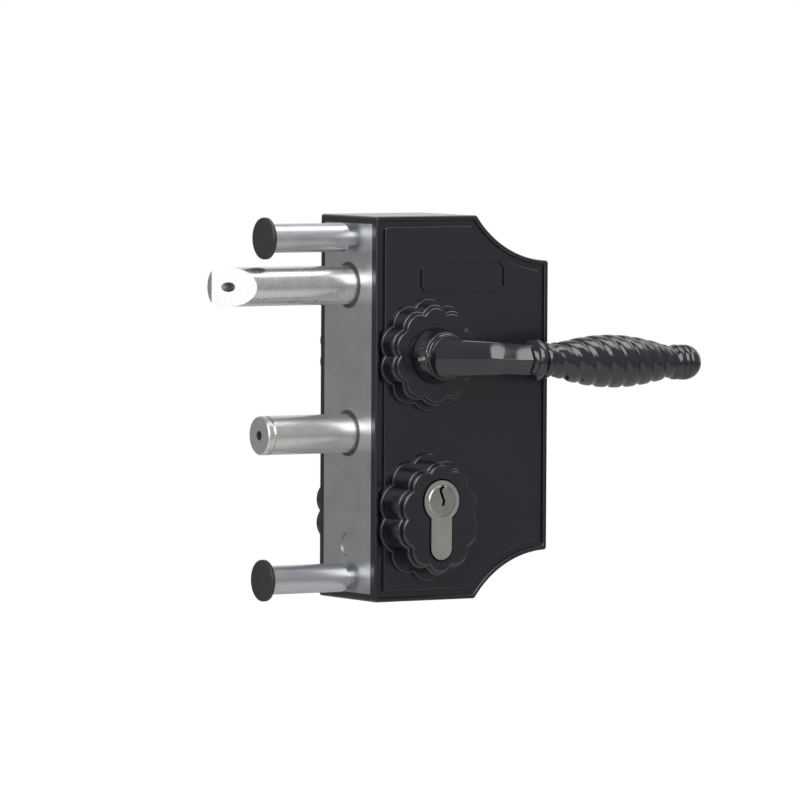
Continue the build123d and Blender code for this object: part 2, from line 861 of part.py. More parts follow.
def lever_handle(droop):
    """One lever, its arm hanging below level by this angle."""
    neck = Pos(0, 0, -arm_drop) * handle_neck().rotate(handle_axis, droop)
    grip = Pos(0, 0, -arm_drop) * handle_grip().rotate(handle_axis, droop)
    reach = bar_y(post_radius, -2 * post_end, 0, backset, handle_height)
    reach += block((backset, 2 * case_width), (-2 * post_end, 0), (-case_height, case_height))
    lever = handle_hub() + (neck & reach) + grip
    lever -= square_y(spindle_side + 2 * seat, spindle_end + free_gap)
    lever -= bar_x(grub_radius, backset - hub_radius - 5, backset, handle_height, -grub_height)
    return lever


def grub_start():
    """The outer end of the grub screw, sunk a little below the hub's cone."""
    share = (grub_height + hub_start()) / hub_cone_length
    return backset - hub_radius + share * (hub_radius - hub_neck_radius) + grub_sink


def grub_screw():
    end = backset - spindle_side / 2 - seat
    screw = bar_x(grub_radius - seat, grub_start(), end, handle_height, -grub_height)
    depth = grub_start() + grub_socket_depth
    return screw - hexagon_x(grub_socket_flats, grub_start() - 1, depth, handle_height, -grub_height)


# Profile cylinder, plugs and cam
def cylinder_body():
    body = slab(euro_profile(), cylinder_half_length, -cylinder_half_length)
    body -= bar_y(plug_radius + running, -cylinder_half_length - 1, cylinder_half_length + 1, backset, cylinder_height)
    half = cam_width / 2 + cam_slot_play
    low = cylinder_height - cam_hub_radius - cam_slot_play
    reach = profile_radius + 1
    body -= block((backset - reach, backset + reach), (-half, half), (low, cylinder_height + reach))
    body -= bar_x(m5[0], backset - profile_web, backset + profile_web, cylinder_screw_height)
    return body


def keyway():
    """The crooked slot that the key's section goes into."""
    centre = Polyline((0.3, -2.0), (0.9, 0.0), (0.1, 1.8), (-0.5, 3.3), (-0.9, 4.8), (0.8, 6.3))
    return Pos(backset, cylinder_height) * trace(centre, keyway_width)


def cylinder_plug():
    """The front turning core, with its keyway and the tail that drives the cam."""
    shoulder = -cam_width / 2 - cam_slot_play
    plug = bar_y(plug_radius, -cylinder_half_length - plug_proud, shoulder, backset, cylinder_height)
    plug = chamfer(edges_at(plug, -cylinder_half_length - plug_proud), 0.4)
    plug += bar_y(plug_tail_radius, shoulder, -seat, backset, cylinder_height)
    plug -= slab(keyway(), keyway_depth - cylinder_half_length, -cylinder_half_length - 5)
    return plug


def cylinder_cam():
    half = cam_width / 2
    cam = bar_y(cam_hub_radius, -half, half, backset, cylinder_height)
    side = cam_finger / 2
    low = cylinder_height + plug_radius
    high = cylinder_height + cam_reach
    finger = block((backset - side, backset + side), (-half, half), (low, high))
    tip = bar_y(cam_reach, -half, half, backset, cylinder_height)
    finger = finger & tip
    cam += finger.rotate(cylinder_axis, cam_turn / 2)
    return cam - bar_y(plug_tail_radius + seat, -half - 1, half + 1, backset, cylinder_height)


def cylinder_screw():
    end = backset + profile_web / 2 - 1
    screw = bar_x(m5[0] - seat, free_gap, end, cylinder_screw_height)
    return screw + bar_x(m5[1], free_gap, m5[2] + free_gap - seat, cylinder_screw_height)


# Deadbolt, its rod and carriage
def deadbolt():
    """Round bolt whose turned face has a groove behind its rim and a centre hole."""
    tip = -stile_size - deadbolt_rest_reach
    bolt = bar_x(bolt_radius, tip, deadbolt_tail, deadbolt_height)
    bolt = chamfer(bolt.edges().filter_by_position(Axis.X, tip - 0.01, tip + 0.01), 0.5)
    groove_start = tip + deadbolt_rim
    groove = bar_x(bolt_radius + 1, groove_start, groove_start + deadbolt_groove, deadbolt_height)
    groove -= bar_x(bolt_radius - deadbolt_groove_depth, groove_start - 1, groove_start + 5, deadbolt_height)
    bolt -= groove
    bolt -= bar_x(deadbolt_hole_radius, tip - 1, tip + deadbolt_hole_depth, deadbolt_height)
    return bolt - bar_x(rod_radius, deadbolt_tail - rod_grip, deadbolt_tail + 1, deadbolt_height)


def deadbolt_carriage_start():
    return deadbolt_tail + free_gap + lock_nut_height


def deadbolt_rod():
    end = deadbolt_carriage_start() + carriage_wall * 2
    return bar_x(rod_radius - seat, deadbolt_tail - rod_grip + 1, end, deadbolt_height)


def deadbolt_pin_x():
    return deadbolt_carriage_start() + deadbolt_carriage_length - deadbolt_pin_from_end


def deadbolt_carriage():
    """A block on the rod, with two tabs below it for the cam to push."""
    start = deadbolt_carriage_start()
    end = start + deadbolt_carriage_length
    half = carriage_width / 2
    notch_x = backset + deadbolt_throw / 2
    underside = deadbolt_height - bolt_radius - free_gap
    body = block((start, end), (-half, half), (underside, deadbolt_height + deadbolt_carriage_rise))
    tab_x = (notch_x - notch_width / 2 - tab_left, notch_x + notch_width / 2 + tab_right)
    tab_y = (-tab_thickness / 2, tab_thickness / 2)
    body += block(tab_x, tab_y, (deadbolt_height - tab_drop, underside))
    notch_x_range = (notch_x - notch_width / 2, notch_x + notch_width / 2)
    notch_z = (deadbolt_height - tab_drop - 1, deadbolt_height - notch_roof)
    body -= block(notch_x_range, (-tab_thickness, tab_thickness), notch_z)
    body -= bar_x(rod_radius, start - 1, start + carriage_wall * 2 + 1, deadbolt_height)
    body -= bar_y(guide_pin_radius + seat, -half - 1, half + 1, deadbolt_pin_x(), deadbolt_height)
    return body


def leaf_spring():
    """A strip that bears down on the deadbolt carriage from the nearest pillar."""
    top = deadbolt_height + deadbolt_carriage_rise
    low = top + leaf_lift
    contact = deadbolt_carriage_start() + leaf_contact
    x_end = pillar_places[1][0]
    z_end = pillar_places[1][1] - pillar_radius
    centre = Polyline(
        (contact - 3.5, low + 2.5),
        (contact, low + leaf_thickness / 2),
        (contact + 8, low + 3.5),
        (x_end - 4, low + 5.0),
        (x_end, z_end - leaf_thickness / 2),
    )
    strip = trace(centre, leaf_thickness)
    return slab(strip, leaf_width / 2, -leaf_width / 2)


shell = cover_shell()
plate = inner_plate()
keep("front_cover", front_cover(shell))
keep("rear_cover", rear_cover(shell))
keep("cover_screws", cover_screws())
keep("front_handle_rosette", handle_rosette())
keep("rear_handle_rosette", rear_of(handle_rosette()))
keep("front_cylinder_rosette", cylinder_rosette())
keep("rear_cylinder_rosette", rear_of(cylinder_rosette()))
keep("front_rosette_screws", rosette_screws())
keep("rear_rosette_screws", rear_of(rosette_screws()))
keep("front_handle_bush", handle_bush())
keep("rear_handle_bush", rear_of(handle_bush()))

keep("side_plate", side_plate())
keep("latch_bush", guide_bush(latch_height))
keep("deadbolt_bush", guide_bush(deadbolt_height))
keep("fixing_studs", fixing_studs())
keep("barrel_nuts", barrel_nuts())
keep("stile_caps", stile_caps())

keep("front_inner_plate", plate)
keep("rear_inner_plate", rear_of(plate))
keep("plate_pillars", plate_pillars())
keep("plate_screws", plate_screws())

keep("latch_bolt", latch_bolt())
keep("latch_rod", latch_rod())
keep("latch_lock_nut", lock_nut(latch_tail + free_gap, latch_height))
keep("latch_carriage", latch_carriage())
keep("latch_guide_pin", guide_pin(latch_pin_x(), guide_pin_height))
keep("latch_spring", latch_spring())
keep("spring_seat", spring_seat())

keep("spindle", spindle())
keep("follower", follower())
keep("drive_pin", drive_pin())
keep("front_handle", lever_handle(arm_droop))
keep("rear_handle", rear_of(lever_handle(rear_arm_droop)))
keep("front_grub_screw", grub_screw())
keep("rear_grub_screw", rear_of(grub_screw()))

keep("cylinder_body", cylinder_body())
keep("front_plug", cylinder_plug())
keep("rear_plug", rear_of(cylinder_plug()))
keep("cylinder_cam", cylinder_cam())
keep("cylinder_screw", cylinder_screw())

keep("deadbolt", deadbolt())
keep("deadbolt_rod", deadbolt_rod())
keep("deadbolt_lock_nut", lock_nut(deadbolt_tail + free_gap, deadbolt_height))
keep("deadbolt_carriage", deadbolt_carriage())
keep("deadbolt_guide_pin", guide_pin(deadbolt_pin_x(), deadbolt_height))
keep("leaf_spring", leaf_spring())
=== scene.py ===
# Gate lock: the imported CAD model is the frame, and each piece below finishes or replaces a part of it.
import math

import bmesh
import bpy
from mathutils import Matrix, Vector


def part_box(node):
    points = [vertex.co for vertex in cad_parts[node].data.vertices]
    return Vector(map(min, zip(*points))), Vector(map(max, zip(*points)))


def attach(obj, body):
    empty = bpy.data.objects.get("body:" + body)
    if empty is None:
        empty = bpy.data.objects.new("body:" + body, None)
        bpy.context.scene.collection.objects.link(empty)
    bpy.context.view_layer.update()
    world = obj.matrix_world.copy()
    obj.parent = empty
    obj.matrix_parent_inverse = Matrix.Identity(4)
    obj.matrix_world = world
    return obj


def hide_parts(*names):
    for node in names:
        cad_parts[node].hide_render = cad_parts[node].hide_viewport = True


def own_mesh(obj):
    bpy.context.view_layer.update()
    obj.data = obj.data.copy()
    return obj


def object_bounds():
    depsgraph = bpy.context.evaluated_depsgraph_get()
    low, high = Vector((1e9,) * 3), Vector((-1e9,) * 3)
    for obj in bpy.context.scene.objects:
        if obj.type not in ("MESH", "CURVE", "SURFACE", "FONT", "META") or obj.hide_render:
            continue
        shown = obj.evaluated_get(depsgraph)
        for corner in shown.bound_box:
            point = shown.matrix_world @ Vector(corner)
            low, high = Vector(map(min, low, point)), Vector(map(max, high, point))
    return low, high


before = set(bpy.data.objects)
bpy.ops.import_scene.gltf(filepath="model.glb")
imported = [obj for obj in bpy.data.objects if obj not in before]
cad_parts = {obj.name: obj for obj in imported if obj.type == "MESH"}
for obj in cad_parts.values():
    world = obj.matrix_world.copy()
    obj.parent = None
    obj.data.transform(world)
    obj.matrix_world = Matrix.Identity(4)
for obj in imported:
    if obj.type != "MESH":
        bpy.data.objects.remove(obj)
cad_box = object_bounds()


# Side plate, inner plates, pillars and their screws
# Pressed and turned steel, zinc plated and passivated. The side plate carries everything else, and the inner
# plates stand on it as a cassette, held by flanges and screws, with riveted pillars between them.

class Finish:
    """A socket in a material. Operators on it add Math nodes, and node() adds a node of any kind."""

    def __init__(self, tree, socket=None):
        self.tree = tree
        self.socket = socket

    def node(self, kind, settings, values, output=0):
        made = self.tree.nodes.new(kind)
        for name, value in settings.items():
            setattr(made, name, value)
        for name, value in values.items():
            if isinstance(value, Finish):
                self.tree.links.new(value.socket, made.inputs[name])
            else:
                made.inputs[name].default_value = value
        return Finish(self.tree, made.outputs[output])

    def out(self, output):
        """Another output of the same node."""
        return Finish(self.tree, self.socket.node.outputs[output])

    def maths(self, operation, *values):
        return self.node("ShaderNodeMath", {"operation": operation}, dict(enumerate(values)))

    def __add__(self, other):
        return self.maths("ADD", self, other)

    __radd__ = __add__

    def __sub__(self, other):
        return self.maths("SUBTRACT", self, other)

    def __rsub__(self, other):
        return self.maths("SUBTRACT", other, self)

    def __mul__(self, other):
        return self.maths("MULTIPLY", self, other)

    __rmul__ = __mul__

    def stretched(self, x, y, z):
        """Coordinates counted so many times to the metre along each axis."""
        return self.node("ShaderNodeVectorMath", {"operation": "MULTIPLY"}, {0: self, 1: (x, y, z)})

    def along(self, axis):
        """One of three coordinates."""
        return self.node("ShaderNodeSeparateXYZ", {}, {"Vector": self}, axis)

    def noise(self, scale, detail=2.0):
        """Noise at these coordinates."""
        return self.node("ShaderNodeTexNoise", {}, {"Vector": self, "Scale": scale, "Detail": detail})

    def mixed(self, low, high):
        """The colour low where this is 0, and high where it is 1."""
        colours = {0: self, 6: (*low, 1.0), 7: (*high, 1.0)}
        return self.node("ShaderNodeMix", {"data_type": "RGBA"}, colours, 2)

    def relief(self, depth, strength):
        """The normal of a surface that stands out by this, times a depth in metres."""
        return self.node("ShaderNodeBump", {}, {"Height": self, "Distance": depth, "Strength": strength})


def new_finish(name, fixed):
    """A material with its fixed values, the Object coordinates on it, and what links a pattern to it."""
    material = bpy.data.materials.new(name)
    material.use_nodes = True
    tree = material.node_tree
    shader = tree.nodes["Principled BSDF"]
    for socket, value in fixed.items():
        shader.inputs[socket].default_value = value
    place = Finish(tree).node("ShaderNodeTexCoord", {}, {}, "Object")

    def feed(socket, pattern):
        tree.links.new(pattern.socket, shader.inputs[socket])

    return material, place, feed


def dress(material, *nodes):
    """Gives CAD nodes, whose shape stays, their finish."""
    for node in nodes:
        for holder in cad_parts[node].material_slots:
            holder.material = material


def zinc_plating(name, dark, light, base_roughness):
    """Plated steel: cloudy passivation over fine rolling marks."""
    material, place, feed = new_finish(name, {"Metallic": 1.0})
    clouds = place.noise(scale=90.0, detail=4.0)
    grain = place.stretched(900.0, 900.0, 160.0).noise(scale=1.0)
    feed("Base Color", clouds.mixed(dark, light))
    feed("Roughness", clouds * 0.18 + grain * 0.10 + base_roughness)
    feed("Normal", grain.relief(depth=0.00004, strength=0.25))
    return material


plated = zinc_plating("plated_steel", (0.46, 0.47, 0.50), (0.60, 0.61, 0.62), base_roughness=0.22)
dress(plated, "side_plate", "front_inner_plate", "rear_inner_plate", "plate_pillars", "plate_screws")
dress(plated, "cylinder_screw", "front_rosette_screws", "rear_rosette_screws", "fixing_studs", "barrel_nuts")
dress(plated, "latch_carriage", "deadbolt_carriage", "latch_lock_nut", "deadbolt_lock_nut")
dress(plated, "spindle", "follower")


# Leaf spring, pins, rods and cover screws
# Hardened bright steel. The leaf spring lies over the deadbolt carriage, the pins are pressed across the
# carriages and the follower, threaded rods join the bolts to their carriages, and screws hold the covers.

def dulled(colour, share):
    """A colour with only this share of its brightness."""
    return tuple(part * share for part in colour)


def drawn_steel(name, colour, base_roughness):
    """Drawn wire and ground bar: faint lines and a little tarnish."""
    material, place, feed = new_finish(name, {"Metallic": 1.0})
    lines = place.stretched(1400.0, 400.0, 1400.0).noise(scale=1.0)
    tarnish = place.noise(scale=120.0, detail=3.0)
    feed("Base Color", tarnish.mixed(dulled(colour, 0.78), colour))
    feed("Roughness", lines * 0.14 + base_roughness)
    feed("Normal", lines.relief(depth=0.00003, strength=0.2))
    return material


hardened = drawn_steel("hardened_steel", (0.46, 0.46, 0.48), base_roughness=0.24)
dress(hardened, "leaf_spring", "drive_pin", "latch_guide_pin", "deadbolt_guide_pin")
dress(hardened, "latch_rod", "deadbolt_rod", "cover_screws")


# Guide bushes, handle bushes and spring seat
# Turned dark grey acetal: rings pressed into the side plate round the two bolts and into the rosettes round
# the handles, so that no metal slides or turns on metal, and the block that the latch spring rests on.

def moulded_plastic(name, dark, light, base_roughness, grain_depth):
    """Plastic with the fine spark-eroded grain of its mould."""
    material, place, feed = new_finish(name, {"Specular IOR Level": 0.45})
    grain = place.noise(scale=2600.0)
    feed("Base Color", place.noise(scale=150.0).mixed(dark, light))
    feed("Roughness", grain * 0.16 + base_roughness)
    feed("Normal", grain.relief(grain_depth, strength=0.4))
    return material


acetal = moulded_plastic(
    "acetal", (0.040, 0.040, 0.044), (0.058, 0.058, 0.062), base_roughness=0.36, grain_depth=0.00003
)
dress(acetal, "latch_bush", "deadbolt_bush", "front_handle_bush", "rear_handle_bush", "spring_seat")


# Caps over the barrel nuts
# Two moulded black plastic caps that snap over the flanges of the barrel nuts and hide their sockets.
# Their faces are nearly flat with a rounded rim.

cap_plastic = moulded_plastic(
    "cap_plastic", (0.017, 0.017, 0.018), (0.026, 0.026, 0.027), base_roughness=0.34, grain_depth=0.00005
)
dress(cap_plastic, "stile_caps")


# Latch bolt
# Round stainless bar, turned and brushed, with one side milled to a slope and a small hole drilled in its
# end. It slides in the side plate's upper bush.

def turned_stainless(name, node, colour, base_roughness, line_depth):
    """A bar turned about its own axis, which lies along X: rings round it, and circles on its end."""
    material, place, feed = new_finish(name, {"Metallic": 1.0})
    low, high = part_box(node)
    axis = {0: place.stretched(0.0, 1.0, 1.0), 1: (0.0, 0.0, (low.z + high.z) / 2)}
    offset = place.node("ShaderNodeVectorMath", {"operation": "SUBTRACT"}, axis)
    radius = place.node("ShaderNodeVectorMath", {"operation": "LENGTH"}, {0: offset}, "Value")
    marks = place.node(
        "ShaderNodeTexNoise", {"noise_dimensions": "1D"},
        {"W": place.along("X") + radius, "Scale": 3200.0, "Detail": 2.0},
    )
    smears = place.noise(scale=220.0, detail=3.0)
    feed("Base Color", smears.mixed(dulled(colour, 0.86), colour))
    feed("Roughness", marks * 0.16 + smears * 0.08 + base_roughness)
    feed("Normal", marks.relief(line_depth, strength=0.35))
    dress(material, node)


turned_stainless(
    "brushed_stainless", "latch_bolt", (0.76, 0.755, 0.74), base_roughness=0.16, line_depth=0.00003
)


# Deadbolt
# Round stainless bar whose end is faced on a lathe, with a chamfered rim, a groove behind it and a centre
# hole. It slides in the side plate's lower bush.

turned_stainless(
    "faced_stainless", "deadbolt", (0.74, 0.735, 0.72), base_roughness=0.20, line_depth=0.00006
)


# Covers
# Two pressure-cast aluminium shells, front and rear, with a raised bead round a hollow-cornered outline.
# They are powder coated satin black: a fine orange peel, a little greyer where the coat is thin.

def powder_coat(name, dark, light, base_roughness, peel_scale, peel_depth, gloss):
    """Powder melted on to a casting: an orange peel, and dust in it that dulls the shine."""
    material, place, feed = new_finish(name, {"Specular IOR Level": gloss})
    peel = place.noise(peel_scale)
    dust = place.noise(peel_scale * 6.0)
    feed("Base Color", place.noise(scale=38.0, detail=3.0).mixed(dark, light))
    feed("Roughness", peel * 0.08 + dust * 0.06 + base_roughness)
    feed("Normal", peel.relief(peel_depth, strength=0.35))
    return material


satin_black = powder_coat(
    "satin_black", (0.0035, 0.0040, 0.0085), (0.0060, 0.0066, 0.0120),
    base_roughness=0.14, peel_scale=700.0, peel_depth=0.00005, gloss=0.75,
)
dress(satin_black, "front_cover", "rear_cover")


# Rosettes
# Four cast aluminium rosettes in stepped tiers with ten lobes, coated as the covers are,
# and held to them by screws from inside.

dress(satin_black, "front_handle_rosette", "rear_handle_rosette")
dress(satin_black, "front_cylinder_rosette", "rear_cylinder_rosette")


# Profile cylinder, its plugs and cam
# Brass, milled and drilled, then plated a satin nickel. The two plugs turn in it with the cam between them,
# and one long screw through the side plate holds it.

def satin_nickel(name, colour, base_roughness):
    """Nickel over brass brushed up and down, so its lines run along Z."""
    material, place, feed = new_finish(name, {"Metallic": 1.0})
    brushing = place.stretched(2600.0, 2600.0, 110.0).noise(scale=1.0, detail=3.0)
    handled = place.noise(scale=160.0, detail=3.0)
    feed("Base Color", handled.mixed(dulled(colour, 0.80), colour))
    feed("Roughness", brushing * 0.16 + handled * 0.10 + base_roughness)
    feed("Normal", brushing.relief(depth=0.00004, strength=0.3))
    return material


nickel = satin_nickel("satin_nickel", (0.56, 0.55, 0.52), base_roughness=0.20)
plug_nickel = satin_nickel("plug_nickel", (0.50, 0.49, 0.455), base_roughness=0.14)
dress(nickel, "cylinder_body", "cylinder_cam")
dress(plug_nickel, "front_plug", "rear_plug")


# Lever handles: hub
# Each lever is one aluminium casting, coated a glossier black. Its hub is turned: a cone that turns on the
# rosette, a small bead, and a round post, with a hole in its side for the grub screw.

MM = 0.001
sharp_angle = math.radians(34.0)
weld_distance = 1e-4
turn_axis_x = 24.5
turn_axis_z = 22.3
hub_seat = -30.4
post_radius = 9.0
# Radius and Y of each corner, from the end inside the rosette to the front of the post
hub_profile = (
    (0.0, -18.6), (8.0, -18.6), (8.0, hub_seat), (11.85, hub_seat), (9.9, -37.4), (post_radius, -37.4),
    (9.35, -37.6), (9.6, -37.95), (9.65, -38.25), (9.6, -38.55), (9.35, -38.9), (post_radius, -39.1),
    (post_radius, -41.0), (0.0, -41.0),
)
hub_steps = 128
hub_corner_angle = 0.6
hub_spigot_reach = 8.5
hub_rounding = 0.45
grub_hole_radius = 3.0
grub_hole_depth = 10.0
grub_hole_y = -35.7

scene = bpy.context.scene
gloss_black = powder_coat(
    "gloss_black", (0.0035, 0.0040, 0.0080), (0.0060, 0.0066, 0.0110),
    base_roughness=0.11, peel_scale=420.0, peel_depth=0.00003, gloss=0.85,
)


def joined(shape, points, closed=False):
    """Edges through points, added to a bmesh."""
    corners = [shape.verts.new(point) for point in points]
    pairs = list(zip(corners, corners[1:] + corners[:1]))
    edges = [shape.edges.new(pair) for pair in (pairs if closed else pairs[:-1])]
    return corners, edges


def rounded(shape, edges, width, steps):
    """Rounds some edges of a bmesh."""
    bmesh.ops.bevel(
        shape, geom=edges, offset=width, offset_type="OFFSET", affect="EDGES", segments=steps, profile=0.5,
        material=-1, clamp_overlap=True,
    )


def mesh_of(shape, name):
    """The finished mesh of a bmesh in millimetres, facing outwards and smooth but for its corners."""
    bmesh.ops.remove_doubles(shape, verts=shape.verts, dist=weld_distance)
    bmesh.ops.scale(shape, vec=(MM, MM, MM), verts=shape.verts)
    bmesh.ops.recalc_face_normals(shape, faces=shape.faces)
    mesh = bpy.data.meshes.new(name)
    shape.to_mesh(mesh)
    shape.free()
    mesh.shade_smooth()
    mesh.set_sharp_from_angle(angle=sharp_angle)
    return mesh


def carved(mesh, tool):
    """A mesh with another cut out of it, both closed."""
    blank = bpy.data.objects.new("blank", mesh)
    cutter = bpy.data.objects.new("cutter", tool)
    for thing in (blank, cutter):
        scene.collection.objects.link(thing)
    cut = blank.modifiers.new("cut", "BOOLEAN")
    cut.object = cutter
    cut.operation = "DIFFERENCE"
    cut.solver = "EXACT"
    result = bpy.data.meshes.new_from_object(blank.evaluated_get(bpy.context.evaluated_depsgraph_get()))
    for thing in (blank, cutter):
        bpy.data.objects.remove(thing)
    result.set_sharp_from_angle(angle=sharp_angle)
    return result


def rear_copy(mesh):
    """The same mesh on the other side of the lock."""
    shape = bmesh.new()
    shape.from_mesh(mesh)
    bmesh.ops.scale(shape, vec=(1.0, -1.0, 1.0), verts=shape.verts)
    bmesh.ops.reverse_faces(shape, faces=shape.faces)
    copy = bpy.data.meshes.new("rear_" + mesh.name)
    shape.to_mesh(copy)
    shape.free()
    return copy


def mounted(name, mesh, material, body, replaced):
    """Puts a finished mesh in the scene as a piece of the lock, in the place of a CAD node."""
    piece = bpy.data.objects.new(name, mesh)
    scene.collection.objects.link(piece)
    mesh.materials.clear()
    mesh.materials.append(material)
    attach(piece, body)
    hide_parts(replaced)
    return piece


def mounted_levers(part, front_mesh, rear_mesh):
    """Puts one part of each of the two levers in the scene."""
    for side, mesh in (("front", front_mesh), ("rear", rear_mesh)):
        mounted(side + "_lever_" + part, mesh, gloss_black, "handle", side + "_handle")


hub = bmesh.new()
hub_corners, hub_edges = joined(hub, [(radius, y, 0.0) for radius, y in hub_profile])
bmesh.ops.spin(
    hub, geom=hub_corners + hub_edges, cent=(0, 0, 0), axis=(0, 1, 0), angle=math.tau, steps=hub_steps,
    use_merge=True,
)
bmesh.ops.remove_doubles(hub, verts=hub.verts, dist=weld_distance)
hub_rims = [
    edge for edge in hub.edges
    if len(edge.link_faces) == 2 and abs(edge.calc_face_angle(0.0)) > hub_corner_angle
    and min(math.hypot(end.co.x, end.co.z) for end in edge.verts) > hub_spigot_reach
]
rounded(hub, hub_rims, hub_rounding, steps=3)
bmesh.ops.translate(hub, vec=(turn_axis_x, 0, turn_axis_z), verts=hub.verts)

grub_hole = bmesh.new()
grub_hole_middle = Matrix.Translation((turn_axis_x - grub_hole_depth, grub_hole_y, turn_axis_z))
bmesh.ops.create_cone(
    grub_hole, cap_ends=True, segments=48, radius1=grub_hole_radius, radius2=grub_hole_radius,
    depth=grub_hole_depth, matrix=grub_hole_middle @ Matrix.Rotation(math.pi / 2, 4, "Y"),
)
hub_mesh = carved(mesh_of(hub, "hub"), mesh_of(grub_hole, "grub_hole"))
mounted_levers("hub", hub_mesh, rear_copy(hub_mesh))


# Lever handles: neck
# The flat-sided arm of the same casting. It leaves the post along the case with a crease along its front,
# then bends out from the case and back again to meet the grip's rings.

neck_start_x = 15.0
neck_centre_y = -37.4
bend_angle = 55.0
end_angle = 30.0
bend_radius = 14.0
bend_steps = 20
grip_place = (58.8, -51.0)
sweep_back = 4.0
front_droop = 2.0
rear_droop = 3.5
drop = 0.4
# Half heights, and half widths of the flats above and below, at the post and at the rings
neck_half_height = (7.9, 6.1)
neck_half_flat = (3.6, 2.8)
crease_rise = 0.41
crown_rise = 0.9
crease_angle = 0.25
crease_slope = 0.12
crease_rounding = 0.4
trim_steps = 48
trim_margin = 20.0
trim_start_y = -60.0
trim_length = 50.0

turn = math.radians(bend_angle)
end_turn = math.radians(end_angle)
straight_y = neck_centre_y - grip_place[1] - bend_radius * (1 + math.cos(end_turn) - 2 * math.cos(turn))
bends_x = bend_radius * (2 * math.sin(turn) - math.sin(end_turn))
bend_x = grip_place[0] - bends_x - straight_y / math.tan(turn)
stations = [(neck_start_x, neck_centre_y, 0.0), ((neck_start_x + bend_x) / 2, neck_centre_y, 0.0)]
for step in range(bend_steps + 1):
    angle = turn * step / bend_steps
    x = bend_x + bend_radius * math.sin(angle)
    stations.append((x, neck_centre_y - bend_radius * (1 - math.cos(angle)), angle))
for step in range(bend_steps + 1):
    angle = turn - (turn - end_turn) * step / bend_steps
    x = grip_place[0] - bend_radius * (math.sin(angle) - math.sin(end_turn))
    stations.append((x, grip_place[1] + bend_radius * (math.cos(end_turn) - math.cos(angle)), angle))
reach = [0.0]
for (x0, y0, _), (x1, y1, _) in zip(stations, stations[1:]):
    reach.append(reach[-1] + math.hypot(x1 - x0, y1 - y0))


def neck_corners(x, y, bearing, share):
    """The neck's eight corners at one place along it, in millimetres."""
    half_height = neck_half_height[0] + (neck_half_height[1] - neck_half_height[0]) * share
    half_flat = neck_half_flat[0] + (neck_half_flat[1] - neck_half_flat[0]) * share
    crease = half_flat + half_height * crease_rise
    crown = half_height + crown_rise * (half_flat / neck_half_flat[0]) ** 2
    upper = [(crease, 0), (half_flat, half_height), (0, crown), (-half_flat, half_height), (-crease, 0)]
    section = upper + [(out, -up) for out, up in reversed(upper[1:-1])]
    return [
        (x - out * math.sin(bearing), y - out * math.cos(bearing), turn_axis_z + up) for out, up in section
    ]


def picked(kind, geometry):
    """The edges, or the corners, among what an operator made."""
    return [item for item in geometry if isinstance(item, kind)]


neck = bmesh.new()
first, *others = [neck_corners(*place, length / reach[-1]) for place, length in zip(stations, reach)]
ring, ring_edges = joined(neck, first, closed=True)
neck.faces.new(ring)
for corners in others:
    ring_edges = picked(bmesh.types.BMEdge, bmesh.ops.extrude_edge_only(neck, edges=ring_edges)["geom"])
    fresh = {vert for edge in ring_edges for vert in edge.verts}
    ring = [
        next(edge.other_vert(vert) for edge in vert.link_edges if edge.other_vert(vert) in fresh)
        for vert in ring
    ]
    for vert, corner in zip(ring, corners):
        vert.co = corner
neck.faces.new(ring)
neck_creases = [
    edge for edge in neck.edges
    if len(edge.link_faces) == 2 and edge.calc_face_angle(0.0) > crease_angle
    and abs((edge.verts[1].co - edge.verts[0].co).normalized().z) < crease_slope
    and all(len(face.verts) == 4 for face in edge.link_faces)
]
rounded(neck, neck_creases, crease_rounding, steps=2)

post_trim = bmesh.new()
trim_outline = []
for step in range(trim_steps + 1):
    angle = math.pi * (step / trim_steps - 0.5)
    trim_outline.append((turn_axis_x - post_radius * math.cos(angle), post_radius * math.sin(angle)))
trim_outline += [(x, trim_margin) for x in (turn_axis_x, 0)]
trim_outline += [(x, -trim_margin) for x in (0, turn_axis_x)]
trim_points = [(x, trim_start_y, turn_axis_z + up) for x, up in trim_outline]
trim_ring, _ = joined(post_trim, trim_points, closed=True)
trim_top = bmesh.ops.extrude_face_region(post_trim, geom=[post_trim.faces.new(trim_ring)])["geom"]
bmesh.ops.translate(post_trim, vec=(0, trim_length, 0), verts=picked(bmesh.types.BMVert, trim_top))
neck_mesh = carved(mesh_of(neck, "neck"), mesh_of(post_trim, "post_trim"))


def hung(mesh, droop):
    """A copy of a part of a lever, turned about the spindle to the angle the lever hangs at."""
    axis = Vector((turn_axis_x * MM, 0, turn_axis_z * MM))
    lowered = Matrix.Translation(axis - Vector((0, 0, drop * MM)))
    copy = mesh.copy()
    copy.transform(lowered @ Matrix.Rotation(math.radians(droop), 4, "Y") @ Matrix.Translation(-axis))
    return copy


mounted_levers("neck", hung(neck_mesh, front_droop), rear_copy(hung(neck_mesh, rear_droop)))


# Lever handles: rings, twisted grip and knob
# The outer half of the casting, turned about the grip's own axis: two rings, a swelling grip with three
# flutes that wind round it, and a knob with two fine ridges and a domed end.

grip_segments = 126
grip_root, root_radius = -3.0, 5.6
pole_radius = 0.02
# Each ring's place along the grip, crest radius, half length and radius at its foot
rings_by_neck = ((0.4, 8.7, 2.2, 6.6), (5.4, 7.6, 1.9, 6.3))
rings_by_knob = ((74.2, 7.4, 1.7, 6.7), (77.4, 7.4, 1.2, 6.9))
ring_steps = 8
swell_start, swell_end = 9.2, 71.5
swell_steps = 140
swell_low, swell_rise, swell_fullness = 6.4, 4.7, 0.9
dome_place, dome_radius, dome_steps = 79.2, 7.4, 14
flute_starts = 3
flute_lead = 22.8
flute_depth = 0.75
flute_fade = 0.05
flute_narrowness = 3


